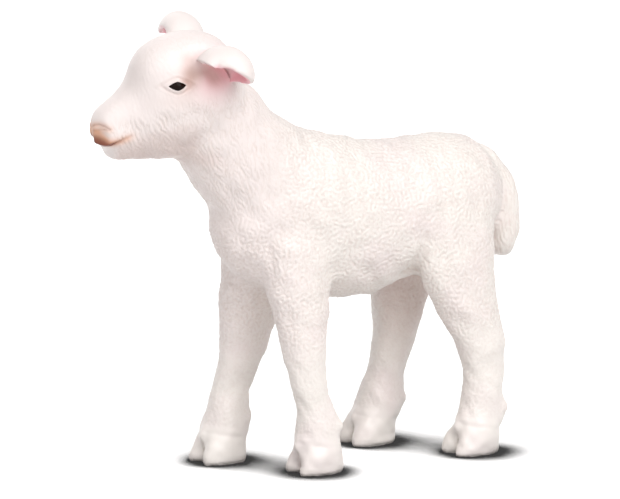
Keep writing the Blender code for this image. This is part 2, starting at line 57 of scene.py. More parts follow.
CARVING_GRID = 0.25 * MM
FAIRING_ROUNDS = 16
SEAM_ROUNDS = 6
FAIRING_PUSH = 0.50
FAIRING_PULL = -0.53
MOULDINGS = [name for name in sorted(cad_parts) if not name.startswith("ear")]
head_axes = np.array(
    Matrix.Rotation(-HEAD_TURN, 3, "Z")
    @ Matrix.Rotation(HEAD_BOW, 3, "X")
    @ Matrix.Rotation(HEAD_LEAN, 3, "Y")
)


def points_of(mesh):
    """The places of a mesh's corners."""
    flat = np.empty(len(mesh.vertices) * 3)
    mesh.vertices.foreach_get("co", flat)
    return flat.reshape(-1, 3)


def faces_of(mesh):
    """The corners of a mesh whose faces all have four."""
    flat = np.empty(len(mesh.loops), np.int64)
    mesh.loops.foreach_get("vertex_index", flat)
    return flat.reshape(-1, 4)


def filled_out():
    """All the mouldings in one mesh, grown until the seams between them close."""
    together = bmesh.new()
    for name in MOULDINGS:
        solid = bmesh.new()
        solid.from_mesh(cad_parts[name].data)
        bmesh.ops.remove_doubles(solid, verts=solid.verts, dist=WELD)
        solid.normal_update()
        for corner in solid.verts:
            corner.co += corner.normal * SEAM_FILL
        grown = bpy.data.meshes.new(name + "_grown")
        solid.to_mesh(grown)
        solid.free()
        together.from_mesh(grown)
        bpy.data.meshes.remove(grown)
    for side in (1, -1):
        middle = head_axes @ (np.array(EAR_SOCKET) * (side, 1, 1)) + HEAD_MIDDLE
        plug = Matrix.Translation(Vector(middle * MM)) @ Matrix(head_axes.tolist()).to_4x4()
        plug = plug @ Matrix.Diagonal((*(size * MM for size in EAR_SOCKET_FILL), 1))
        bmesh.ops.create_uvsphere(together, u_segments=24, v_segments=16, radius=1, matrix=plug)
    mesh = bpy.data.meshes.new("grown")
    together.to_mesh(mesh)
    together.free()
    return mesh


def through_modifier(mesh, kind, **settings):
    """The mesh as one modifier leaves it."""
    holder = bpy.data.objects.new("carving", mesh)
    bpy.context.scene.collection.objects.link(holder)
    step = holder.modifiers.new(kind, kind)
    for setting, value in settings.items():
        setattr(step, setting, value)
    graph = bpy.context.evaluated_depsgraph_get()
    worked = bpy.data.meshes.new_from_object(holder.evaluated_get(graph))
    bpy.data.objects.remove(holder)
    return worked


def normals_of(points, faces):
    """A normal at each point, from the faces round it."""
    diagonal = points[faces[:, 2]] - points[faces[:, 0]]
    across = points[faces[:, 3]] - points[faces[:, 1]]
    square = np.cross(diagonal, across)
    total = np.zeros_like(points)
    for corner in range(4):
        for axis in range(3):
            total[:, axis] += np.bincount(faces[:, corner], square[:, axis], len(points))
    return total / np.maximum(np.linalg.norm(total, axis=1, keepdims=True), 1e-20)


def averaged(values, faces, share):
    """Values at the points, each moved a share of the way to the mean of its neighbours."""
    total = np.zeros_like(values)
    count = np.zeros(len(values))
    for here, there in ((0, 1), (1, 2), (2, 3), (3, 0)):
        for near, far in ((here, there), (there, here)):
            count += np.bincount(faces[:, near], minlength=len(values))
            for axis in range(values.shape[1]):
                total[:, axis] += np.bincount(faces[:, near], values[faces[:, far], axis], len(values))
    return values + (total / count[:, None] - values) * share


carving = through_modifier(filled_out(), "REMESH", mode="VOXEL", voxel_size=CARVING_GRID)
rough_points, rough_faces = points_of(carving), faces_of(carving)

# only the outer skin is kept: the gaps round the pegs leave closed pockets deep inside
shell = np.arange(len(rough_points))
while True:
    lowest = shell.copy()
    np.minimum.at(lowest, rough_faces.ravel(), np.repeat(shell[rough_faces].min(axis=1), 4))
    lowest = lowest[lowest]
    if (lowest == shell).all():
        break
    shell = lowest
outer = shell == np.bincount(shell).argmax()
renumbered = np.cumsum(outer) - 1
rough_points, rough_faces = rough_points[outer], renumbered[rough_faces[outer[rough_faces[:, 0]]]]
bpy.data.meshes.remove(carving)
carving = bpy.data.meshes.new("carving")
carving.from_pydata(rough_points.tolist(), [], rough_faces.tolist())

form_corners, form_faces, form_owners = [], [], []
for number, name in enumerate(MOULDINGS):
    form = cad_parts[name].data
    start = len(form_corners)
    form_corners += [corner.co[:] for corner in form.vertices]
    form_faces += [[start + corner for corner in face.vertices] for face in form.polygons]
    form_owners += [number] * len(form.polygons)
forms = BVHTree.FromPolygons(form_corners, form_faces)
middles = rough_points[rough_faces].mean(axis=1)
rough_owners = np.array([form_owners[forms.find_nearest(Vector(middle))[2]] for middle in middles])

for _ in range(SEAM_ROUNDS):
    # each face goes with most of the faces round it, which leaves every moulding in one piece
    votes = np.zeros((len(rough_points), len(MOULDINGS)))
    np.add.at(votes, (rough_faces, rough_owners[:, None]), 1)
    rough_owners = votes[rough_faces].sum(axis=1).argmax(axis=1)
for _ in range(FAIRING_ROUNDS):
    rough_points = averaged(rough_points, rough_faces, FAIRING_PUSH)
    rough_points = averaged(rough_points, rough_faces, FAIRING_PULL)
rough_points -= normals_of(rough_points, rough_faces) * SEAM_FILL

carving.vertices.foreach_set("co", rough_points.ravel())
for name in MOULDINGS:
    carving.materials.append(bpy.data.materials.new(name + "_share"))
carving.polygons.foreach_set("material_index", rough_owners)
carving.update()
carving = through_modifier(carving, "SUBSURF", levels=1)
faces = faces_of(carving)
place = points_of(carving) / MM
owners = np.empty(len(faces), np.int64)
carving.polygons.foreach_get("material_index", owners)
bpy.data.meshes.remove(carving)
for name in MOULDINGS:
    bpy.data.materials.remove(bpy.data.materials[name + "_share"])
owner_of_point = np.zeros(len(place), np.int64)
owner_of_point[faces.ravel()] = np.repeat(owners, 4)

# Folds
# A deep fold runs up each flank where the belly meets the thigh, a softer one up the left breast
# where the foreleg starts, and the tail hangs full and a little free of the rump.
# From here on the skin's points and its sizes are in mm.
BODY_MIDDLE = -0.644
FLANK_FOLD = (
    (3.65, 9.9, 18.3), (4.34, 9.85, 18.95), (5.09, 9.85, 20.1), (5.57, 10.0, 21.6), (5.96, 10.2, 24.0),
)
FLANK_DEPTH = 0.66
FLANK_WIDTH = 0.58
FLANK_ROLL_HEIGHT = 0.12
FLANK_ROLL_AWAY = 1.4
FLANK_ROLL_WIDTH = 0.8
FLANK_APEX = (3.4, 9.2, 18.5)
APEX_DEPTH = 0.55
APEX_WIDTH = 1.8
GROIN_RISE = 0.55
GROIN_BACK = 11.0
GROIN_LENGTH = 2.4
BREAST_FOLD = ((4.5, -6.95, 20.4), (4.3, -7.15, 22.5), (4.22, -7.45, 24.0), (4.5, -7.6, 25.5))
BREAST_DEPTH = 0.22
BREAST_WIDTH = 0.60
TAIL_FULLNESS = 0.22
JOINT_ROUNDS = 6
JOINT_SPREAD = 0.6  # of the way to the neighbours' mean, each round


def softened(values, faces, rounds):
    """A number at each point, spread out over its neighbours."""
    for _ in range(rounds):
        values = averaged(values[:, None], faces, JOINT_SPREAD)[:, 0]
    return values


def share_of(*names):
    """1 on the named mouldings and 0 elsewhere, soft at their joints."""
    chosen = np.isin(owner_of_point, [MOULDINGS.index(name) for name in names])
    return softened(chosen.astype(float), faces, JOINT_ROUNDS)


def ramp(values, start, end):
    """0 at the start, 1 at the end, and a smooth rise between."""
    t = np.clip((values - start) / (end - start), 0, 1)
    return t * t * (3 - 2 * t)


def bell(values, width):
    """1 at nothing, falling away on both sides."""
    return np.exp(-((values / width) ** 2))


def raised(amount):
    """Moves the skin outwards by an amount in mm at each point."""
    return place + normals_of(place, faces) * amount[:, None]


def from_line(spots, stops):
    """Distance from the spots to a line through some places, and the share of the way along it."""
    stops = np.array(stops)
    lengths = np.linalg.norm(np.diff(stops, axis=0), axis=1)
    done = np.concatenate([[0], np.cumsum(lengths)])
    best = np.full(len(spots), 1e9)
    along = np.zeros(len(spots))
    for start, end, length, before in zip(stops, stops[1:], lengths, done):
        t = np.clip((spots - start) @ (end - start) / length**2, 0, 1)
        distance = np.linalg.norm(spots - start - t[:, None] * (end - start), axis=1)
        nearer = distance < best
        best[nearer] = distance[nearer]
        along[nearer] = ((before + t * length) / done[-1])[nearer]
    return best, along


from_body_middle = place - (BODY_MIDDLE, 0, 0)
mirrored = np.abs(from_body_middle) * (1, 0, 0) + from_body_middle * (0, 1, 1)
flank_distance, flank_along = from_line(mirrored, FLANK_FOLD)
shape = -FLANK_DEPTH * bell(flank_distance, FLANK_WIDTH) * ramp(flank_along, 1.05, 0.1)
flank_roll = bell(flank_distance - FLANK_ROLL_AWAY, FLANK_ROLL_WIDTH) * ramp(flank_along, 1.0, 0.3)
shape += FLANK_ROLL_HEIGHT * flank_roll
shape -= APEX_DEPTH * bell(np.linalg.norm(mirrored - FLANK_APEX, axis=1), APEX_WIDTH)
underside = ramp(-normals_of(place, faces)[:, 2], 0.3, 0.8) * ramp(mirrored[:, 0], 4.6, 3.4)
groin = underside * bell(place[:, 1] - GROIN_BACK, GROIN_LENGTH) * ramp(place[:, 2], 14.0, 15.5)
shape -= GROIN_RISE * groin
breast_distance, breast_along = from_line(from_body_middle, BREAST_FOLD)
shape -= BREAST_DEPTH * bell(breast_distance, BREAST_WIDTH) * ramp(breast_along, 1.0, 0.3)
shape += TAIL_FULLNESS * share_of("tail") * ramp(place[:, 2], 29.0, 25.0)
place = raised(shape)

# Face
# The head is carved smooth in front: eyelids round a slanting eye, a hollow from the eye back to
# the ear, two creases for each nostril, a groove down the nose and a mouth that turns up at its ends.
# Places on it are mm ahead, to the side and up of the point between the eyes.
EYE_MIDDLE = (1.28, 1.16)  # ahead and up
EYE_HALF_LENGTH = 0.88
EYE_HALF_HEIGHT = 0.45
EYE_SLANT = math.radians(11.0)
EYE_CORNER_POWER = 1.3
SOCKET_DEPTH = 0.20
EYEBALL_HEIGHT = 0.26
LID_HEIGHT = 0.085
LID_CREASE_DEPTH = 0.060
OUTER_LID_HEIGHT = 0.030
HOLLOW_LINE = ((0.1, 4.15, 1.1), (-1.1, 4.03, 1.6), (-2.0, 3.84, 1.8), (-2.6, 4.1, 0.9))
HOLLOW_DEPTH = 0.16
HOLLOW_WIDTH = 0.75
BROW_LINE = ((-0.2, 3.7, 2.2), (-0.6, 3.2, 3.1))
BROW_DEPTH = 0.14
BROW_WIDTH = 0.7
MOUTH_LINE = (
    (9.90, 0.0, -3.24), (9.74, 0.35, -3.34), (9.42, 1.64, -3.48), (8.79, 2.20, -3.48),
    (8.0, 2.48, -3.33), (6.94, 2.67, -3.10), (6.14, 2.82, -2.96),
)
MOUTH_LEVEL_AHEAD = (6.0, 7.0, 8.0, 8.8, 9.4, 9.9)
MOUTH_LEVEL_UP = (-2.94, -3.1, -3.33, -3.48, -3.48, -3.24)
MOUTH_WIDTH = 0.17
MOUTH_END_DEPTH = 0.08
MOUTH_FRONT_DEPTH = 0.20
LIP_ROLL_HEIGHT = 0.10
LIP_ROLL_WIDTH = 0.8
CHIN_SET_BACK = 0.45
LIP_FULLNESS = 0.30
LIP_SET_BACK = 0.22
BRIDGE_MIDDLE = (5.8, 1.6)  # ahead and up
BRIDGE_LENGTH = 2.2
BRIDGE_HEIGHT = 1.8
BRIDGE_DEPTH = 0.32
NOSTRIL_TOP_LINE = (
    (9.70, 0.15, -1.85), (9.52, 0.60, -1.50), (9.25, 1.10, -1.34), (8.85, 1.75, -1.50), (8.45, 2.13, -1.88),
)
NOSTRIL_LOW_LINE = ((9.72, 0.20, -2.26), (9.45, 1.10, -1.98), (9.00, 1.76, -1.82), (8.50, 2.10, -1.95))
NOSTRIL_DEPTH = 0.07
NOSTRIL_WIDTH = 0.12
NOSE_GROOVE_DEPTH = 0.07
NOSE_GROOVE_WIDTH = 0.16
NOSE_TAPER = 0.26

head_left, head_back, head_up = ((place - HEAD_MIDDLE) @ head_axes).T
head_ahead = -head_back
head_side = np.abs(head_left)
head_spots = np.stack([head_ahead, head_side, head_up], axis=1)
on_head = ramp(place[:, 1], -8.5, -11.5) * ramp(place[:, 2], 31.0, 33.0)


def slanted(ahead, up, slope):
    """How far along and how far over a sloping line that starts at nothing."""
    along = ahead * math.cos(slope) + up * math.sin(slope)
    over = up * math.cos(slope) - ahead * math.sin(slope)
    return along, over


eye_along, eye_over = slanted(head_ahead - EYE_MIDDLE[0], head_up - EYE_MIDDLE[1], EYE_SLANT)
along_power = np.abs(eye_along / EYE_HALF_LENGTH) ** EYE_CORNER_POWER
over_power = np.abs(eye_over / EYE_HALF_HEIGHT) ** EYE_CORNER_POWER
eye_reach = (along_power + over_power) ** (1 / EYE_CORNER_POWER)
near_eye = on_head * ramp(head_side, 2.0, 3.0)
face_shape = near_eye * (
    -SOCKET_DEPTH * bell(np.hypot(eye_along / 1.9, (eye_over + 0.05) / 1.15), 1.0)
    + EYEBALL_HEIGHT * bell(np.hypot(eye_along / 0.95, eye_over / 0.62), 1.0)
    + LID_HEIGHT * bell(eye_reach - 1.28, 0.20)
    - LID_CREASE_DEPTH * bell(eye_reach - 1.80, 0.22)
    + OUTER_LID_HEIGHT * bell(eye_reach - 2.25, 0.22)
)
hollow_distance, _ = from_line(head_spots, HOLLOW_LINE)
brow_distance, _ = from_line(head_spots, BROW_LINE)
face_shape -= on_head * HOLLOW_DEPTH * bell(hollow_distance, HOLLOW_WIDTH)
face_shape -= on_head * BROW_DEPTH * bell(brow_distance, BROW_WIDTH)

mouth_distance, mouth_along = from_line(head_spots, MOUTH_LINE)
mouth_front = ramp(mouth_along, 1.0, 0.35)
mouth_depth = (MOUTH_END_DEPTH + MOUTH_FRONT_DEPTH * mouth_front) * ramp(mouth_along, 1.0, 0.9)
face_shape -= on_head * mouth_depth * bell(mouth_distance, MOUTH_WIDTH)
below = np.interp(head_ahead, MOUTH_LEVEL_AHEAD, MOUTH_LEVEL_UP) - head_up
lip_roll = mouth_front * bell(mouth_distance, LIP_ROLL_WIDTH) * ramp(below, 0.05, -0.25)
face_shape += on_head * LIP_ROLL_HEIGHT * lip_roll
chin = ramp(below, 0.0, 0.35) * ramp(below, 2.4, 1.2) * ramp(head_ahead, 7.6, 9.3)
face_shape -= on_head * CHIN_SET_BACK * chin
full_lip = bell(below + 0.05, 0.42) * ramp(head_ahead, 8.2, 9.2) * ramp(head_left, 0.1, 1.0)
face_shape += on_head * LIP_FULLNESS * full_lip
lip_front = bell(below, 0.45) * ramp(head_ahead, 9.1, 9.7) * ramp(head_left, 1.0, 0.1)
face_shape -= on_head * LIP_SET_BACK * lip_front

bridge_ahead = (head_ahead - BRIDGE_MIDDLE[0]) / BRIDGE_LENGTH
bridge_up = (head_up - BRIDGE_MIDDLE[1]) / BRIDGE_HEIGHT
face_shape -= on_head * BRIDGE_DEPTH * bell(np.hypot(bridge_ahead, bridge_up), 1.0)
nostril_top, _ = from_line(head_spots, NOSTRIL_TOP_LINE)
nostril_low, _ = from_line(head_spots, NOSTRIL_LOW_LINE)
for nostril in (nostril_top, nostril_low):
    face_shape -= on_head * NOSTRIL_DEPTH * bell(nostril, NOSTRIL_WIDTH)
nose_groove = ramp(head_ahead, 8.9, 9.4) * ramp(head_up, -1.6, -2.0) * ramp(head_up, -3.4, -3.1)
face_shape -= on_head * NOSE_GROOVE_DEPTH * nose_groove * bell(head_side, NOSE_GROOVE_WIDTH)
nose_sides = ramp(head_side, 0.4, 1.3) * ramp(head_ahead, 8.5, 9.4) * ramp(head_up, -0.6, -1.6)
face_shape -= on_head * NOSE_TAPER * nose_sides * ramp(below, 0.0, -0.5)
place = raised(face_shape)

# Hooves
# Each foot stands on two claws with a cleft between them in front and behind, under a soft ridge
# where the skin ends. The soles are flat, since the figure has to stand.
HOOF_MIDDLES = {
    "foreleg_left": (4.256, -2.41),
    "foreleg_right": (-5.544, -7.69),
    "hindleg_left": (4.256, 15.99),
    "hindleg_right": (-5.544, 9.87),
}
CORONET_HEIGHT = 3.1
CORONET_SLOPE = 0.16
CORONET_RIDGE = 0.05
CORONET_GROOVE = 0.04
CLEFT_DEPTH = 0.42
CLEFT_WIDTH = 0.20
CLEFT_FILL = 0.26
CLEFT_SPREAD = 0.42
SOLE_LINE_UP = 0.75
SOLE_LINE_HEIGHT = 0.02
SOLE_LINE_WIDTH = 0.16
SOLE_EDGE = 0.15
SOLE_ROUNDING = 0.12
SOLE_ROUND_HEIGHT = 0.45
CLAW_OUT = 1.2
CLAW_HALF_LENGTH = 2.7
HOOF_REACH_ACROSS = 3.2
HOOF_REACH_ALONG = 4.2
LUMP_PITCH = (2.2, 4.5)
LUMP_HEIGHT = 0.055
SMALL_LUMP_PITCH = (0.9, 1.6)
SMALL_LUMP_HEIGHT = 0.020
UNEVEN_PITCH = (2.0, 4.0)


def waves(seed, pitches, count, lie=None):
    """Random headings, wave numbers and phases for a carved pattern, mostly square to lie."""
    random = np.random.default_rng(seed)
    heading = random.normal(size=(count, 3))
    if lie is not None:
        heading -= 0.8 * (heading @ np.array(lie))[:, None] * np.array(lie)
    heading /= np.linalg.norm(heading, axis=1, keepdims=True)
    number = math.tau / random.uniform(*pitches, size=(count, 1))
    return heading, heading * number, random.uniform(0, math.tau, size=count)


def smooth_noise(spots, seed, pitches, count=24):
    """Soft random hills and dips, mostly between -1 and 1."""
    _, wave, phase = waves(seed, pitches, count)
    total = np.zeros(len(spots))
    for one, start in zip(wave, phase):
        total += np.cos(spots @ one + start)
    return total * math.sqrt(2 / count)


lumps = LUMP_HEIGHT * smooth_noise(place, 21, LUMP_PITCH)
lumps += SMALL_LUMP_HEIGHT * smooth_noise(place, 22, SMALL_LUMP_PITCH)
uneven = 0.35 + 0.65 * ramp(smooth_noise(place, 23, UNEVEN_PITCH), -0.8, 0.8)
hoof_shape = lumps * ramp(place[:, 2], 15.0, 9.0) * ramp(place[:, 2], 0.3, 1.2)
for name, (middle_x, middle_y) in HOOF_MIDDLES.items():
    own = share_of(name) * ramp(place[:, 2], 7.0, 5.5)
    forward = middle_y - place[:, 1]
    above = place[:, 2] - (CORONET_HEIGHT + CORONET_SLOPE * forward)
    from_cleft = place[:, 0] - middle_x
    ends = own * np.maximum(ramp(forward, 0.6, 1.8), ramp(forward, -0.9, -1.8))
    hoof_shape -= ends * CLEFT_DEPTH * bell(from_cleft, CLEFT_WIDTH) * ramp(above, -0.7, -1.7)
    hoof_shape += ends * CLEFT_FILL * bell(from_cleft, CLEFT_SPREAD) * bell(above + 0.4, 0.9)
    hoof_shape += own * uneven * CORONET_RIDGE * bell(above - 0.25, 0.32)
    hoof_shape -= own * uneven * CORONET_GROOVE * bell(above + 0.2, 0.22)
    hoof_shape += own * uneven * SOLE_LINE_HEIGHT * bell(place[:, 2] - SOLE_LINE_UP, SOLE_LINE_WIDTH)
place = raised(hoof_shape)
for middle_x, middle_y in HOOF_MIDDLES.values():
    across = place[:, 0] - middle_x
    along = place[:, 1] - middle_y
    under = ramp(place[:, 2], SOLE_ROUND_HEIGHT, 0.0)
    under *= (np.abs(across) < HOOF_REACH_ACROSS) * (np.abs(along) < HOOF_REACH_ALONG)
    claw = CLAW_OUT * np.sign(across)
    place[:, 0] -= (across - claw) / CLAW_OUT * SOLE_ROUNDING * under
    place[:, 1] -= along / CLAW_HALF_LENGTH * SOLE_ROUNDING * under
flat_sole = ramp(place[:, 2], SOLE_EDGE, 0.05)
place[:, 2] = np.maximum(place[:, 2] * (1 - flat_sole), 0)

# Fleece
# The wool of trunk, neck, tail and upper legs is carved in low relief: tight curls on the trunk, and
# strokes that lie down and back on neck and cheeks, fading out towards face and hooves.
CURL_PITCH = (0.36, 0.56)  # finest and coarsest
CURL_LENGTH = 0.16
CURL_DEPTH = 0.046
CURL_TURN = 2.4
CURL_WAVES = 220
SWIRL_PITCH = (1.2, 2.4)
STROKE_PITCH = (0.30, 0.54)
STROKE_LENGTH = 0.55
STROKE_DEPTH = 0.040
STROKE_TURN = 0.34
STROKE_WAVES = 150
STROKE_LIE = (0.0, 0.45, -0.89)
WAVER_PITCH = (0.9, 1.8)
PATCH_PITCH = (1.0, 2.2)
LOCK_PITCH = (1.7, 3.6)
LOCK_HEIGHT = 0.050


def strands(spots, normals, flow, length, seed, pitches, count, lie=None):
    """Long rounded ridges that follow the flow, -1 to 1."""
    total = np.zeros(len(spots))
    power = np.full(len(spots), 1e-6)
    for direction, one, start in zip(*waves(seed, pitches, count, lie)):
        along = (flow @ one) * length
        flatness = 1 - (normals @ direction) ** 2
        weight = np.exp(-along * along / 2) * flatness * flatness
        total += weight * np.cos(spots @ one + start)
        power += weight * weight / 2
    return np.tanh(total / np.sqrt(power) * 1.1)


outward = normals_of(place, faces)
x, y, z = place.T
cheek_line = -1.1 + 0.20 * head_ahead.clip(-9, 0) - 0.13 * head_ahead.clip(0, 9)
bare_face = on_head * ramp(head_up - cheek_line, -0.3, 1.2) * ramp(head_ahead, -6.0, -3.2)
bare_muzzle = on_head * ramp(head_ahead, 7.6, 9.2)
shank = ramp(z, 15.5, 10.0)
hoof = ramp(z, 4.6, 3.2)
on_tail = share_of("tail")
on_neck = ramp(y, -4.5, -8.5) * ramp(z, 23.0, 28.0)
hairy = np.maximum(on_neck, on_tail)
wool = (1 - bare_muzzle) * (1 - hoof)

flow = np.stack([0 * x, 0.40 - 0.3 * on_tail, -0.8 - 0.1 * on_tail], axis=1)
flow -= outward * (flow * outward).sum(axis=1, keepdims=True)
flow /= np.maximum(np.linalg.norm(flow, axis=1, keepdims=True), 1e-6)
sideways = np.cross(outward, flow)


def turned(angle):
    """The flow along the skin, turned by an angle at each point."""
    return flow * np.cos(angle)[:, None] + sideways * np.sin(angle)[:, None]


swirl = turned(CURL_TURN * smooth_noise(place, 3, SWIRL_PITCH))
curls = strands(place, outward, swirl, CURL_LENGTH, 11, CURL_PITCH, CURL_WAVES)
waver = turned(STROKE_TURN * smooth_noise(place, 5, WAVER_PITCH))
strokes = strands(place, outward, waver, STROKE_LENGTH, 12, STROKE_PITCH, STROKE_WAVES, STROKE_LIE)
patches = 0.45 + 0.55 * ramp(smooth_noise(place, 7, PATCH_PITCH), -0.9, 0.7)
curl_height = CURL_DEPTH * (1 - 0.50 * shank) * (1 - 0.90 * hairy) * (1 - bare_face)
stroke_height = STROKE_DEPTH * patches * (0.15 + 0.85 * hairy) * (1 - 0.6 * shank) * (1 - 0.80 * bare_face)
relief = wool * (curls * curl_height + strokes * stroke_height)
locks = smooth_noise(place, 31, LOCK_PITCH) * LOCK_HEIGHT * wool * (1 - 0.5 * shank) * (1 - bare_face)
place = place + outward * (relief + locks)[:, None]

# Vinyl, paint and painted shade
# All the mouldings are the same creamy white vinyl with a satin skin. The maker sprays the ears
# pink and washes nose and mouth with tan. Shade is painted into the colour as well: a brown painted
# shade in the hollows round the eye, on the throat, under the jaw and between the thighs, and a
# darker painted shade in the wool's grooves.
CREAM = (0.955, 0.905, 0.860)
ROSE_WHITE = (0.940, 0.845, 0.830)
# painted shade: the darker white laid in the wool's grooves, coarse and fine, where shadow falls
GROOVE_SHADE_COLOUR = (0.800, 0.690, 0.640)
PAINTS_AND_SHADE = {
    "blush": (0.96, 0.47, 0.53),
    # painted shade: brown laid where shadow falls in the hollows, on throat and jaw and between the thighs
    "hollow": (0.60, 0.42, 0.37),
    "tan": (0.76, 0.39, 0.23),
    "brown": (0.22, 0.06, 0.03),
}
VINYL_IOR = 1.5
SATIN = (0.28, 0.38)
DRIFT_SCALE = 160
SATIN_SCALE = 900
PORE_SCALE = 3200
GROOVE_SHADE_AMOUNT = 0.45
FINE_GROOVE_SHADE_AMOUNT = 0.38
TOOL_DEPTH = 0.016 * MM
CURL_SCALE = 1900
CURL_DISTORTION = 0.8
CURL_GROOVE = 0.07
STROKE_SCALE = 1900
STROKE_DISTORTION = 0.5
STROKE_GROOVE = 0.07
STROKE_STRETCH = 0.28
STROKE_TILT = math.atan2(0.45, 0.89)
ROSE_STRENGTH = 0.75
# amounts of the brown painted shade in each hollow
HOLLOW_SHADE = 0.70
BROW_SHADE = 0.58
LID_SHADE = 0.22
UNDER_EYE_SHADE = 0.20
THIGH_SHADE = 0.38
THROAT_SHADE = 0.32
THROAT_MIDDLE = (0.4, -7.3)  # ahead and up
THROAT_LENGTH = 2.3
THROAT_BREADTH = 0.9
THROAT_SLOPE = math.radians(26)
JAW_SHADE = 0.38
EAR_BLUSH = 0.70
EAR_BLUSH_MIDDLE = (-2.9, 3.95, 1.2)
EAR_BLUSH_REACH = 2.2
LIP_TAN = 0.80
NOSE_TAN = 0.26
MOUTH_TAN = 0.65
NOSTRIL_TAN = 0.40
TAN_LIMIT = 0.9
LIP_BROWN = 0.92
NOSTRIL_BROWN = 0.28
JOINT_SUNK = 0.7

# how much there is of each paint, of painted shade and of each kind of tool mark, at each point
layers = {
    "rosy": ROSE_STRENGTH * ramp(y, 0.0, -9.0) * ramp(z, 8.0, 14.0),
    "curly": wool * (1 - 0.50 * shank) * (1 - 0.85 * hairy) * (1 - bare_face),
    "hairy": wool * hairy * (1 - (0.85 - 0.35 * ramp(head_up, 2.8, 4.0)) * bare_face),
    # painted shade in the valleys of the carved wool
    "groove": wool * ramp(-relief / CURL_DEPTH, 0.0, 1.0),
}
# painted shade: the brown hollow colour round the eye, on the throat, under the jaw where the skin faces down
# and on the thighs' inner sides, where shadow falls
under_eye = bell(np.hypot((eye_along + 0.3) / 2.0, (eye_over + 1.5) / 0.9), 1.0)
shade_round_eye = on_head * np.clip(
    HOLLOW_SHADE * bell(hollow_distance, 0.95)
    + BROW_SHADE * bell(brow_distance, 0.9)
    + LID_SHADE * near_eye * bell(eye_reach - 1.75, 0.5)
    + UNDER_EYE_SHADE * near_eye * under_eye, 0, 1
)
from_spine = np.abs(x - BODY_MIDDLE)
facing_in = ramp(-np.sign(x - BODY_MIDDLE) * outward[:, 0], 0.1, 0.8) * ramp(from_spine, 0.8, 2.2)
between_thighs = facing_in * ramp(y, -2.0, 8.0) * ramp(z, 7.0, 15.0) * ramp(z, 23.0, 20.0)
throat_along, throat_over = slanted(head_ahead - THROAT_MIDDLE[0], head_up - THROAT_MIDDLE[1], THROAT_SLOPE)
throat = bell(np.hypot(throat_along / THROAT_LENGTH, throat_over / THROAT_BREADTH), 1.0)
under_jaw = on_head * ramp(-outward[:, 2], -0.1, 0.8) * ramp(head_up, -2.5, -3.6)
under_jaw *= ramp(head_ahead, -1.0, 1.0) * ramp(head_ahead, 8.8, 7.6)
layers["hollow"] = np.maximum.reduce(
    [shade_round_eye, THIGH_SHADE * between_thighs, THROAT_SHADE * throat, JAW_SHADE * under_jaw]
)
from_ear = np.linalg.norm(head_spots - EAR_BLUSH_MIDDLE, axis=1)
layers["blush"] = EAR_BLUSH * on_head * bell(from_ear, EAR_BLUSH_REACH)
lip = on_head * ramp(below, 0.25, -0.1)
lip_down = below + 0.55 * ramp(head_ahead, 8.3, 9.5)
from_nostril = np.minimum(nostril_top, nostril_low)
layers["tan"] = on_head * np.clip(
    LIP_TAN * ramp(lip_down, -1.2, -0.1) * lip * ramp(head_ahead, 7.4, 9.3)
    + NOSE_TAN * ramp(head_ahead, 8.5, 9.6) * ramp(below, 0.1, -0.2) * ramp(head_up, -1.1, -1.7)
    + MOUTH_TAN * bell(mouth_distance, 0.42) * ramp(mouth_along, 1.05, 0.8)
    + NOSTRIL_TAN * bell(from_nostril, 0.36), 0, TAN_LIMIT
)
layers["brown"] = on_head * np.clip(
    bell(mouth_distance, 0.24) * ramp(mouth_along, 0.85, 0.35)
    + LIP_BROWN * ramp(lip_down, -0.50, 0.20) * lip * ramp(head_ahead, 7.9, 8.9)
    + NOSTRIL_BROWN * bell(from_nostril, 0.09), 0, 1
)


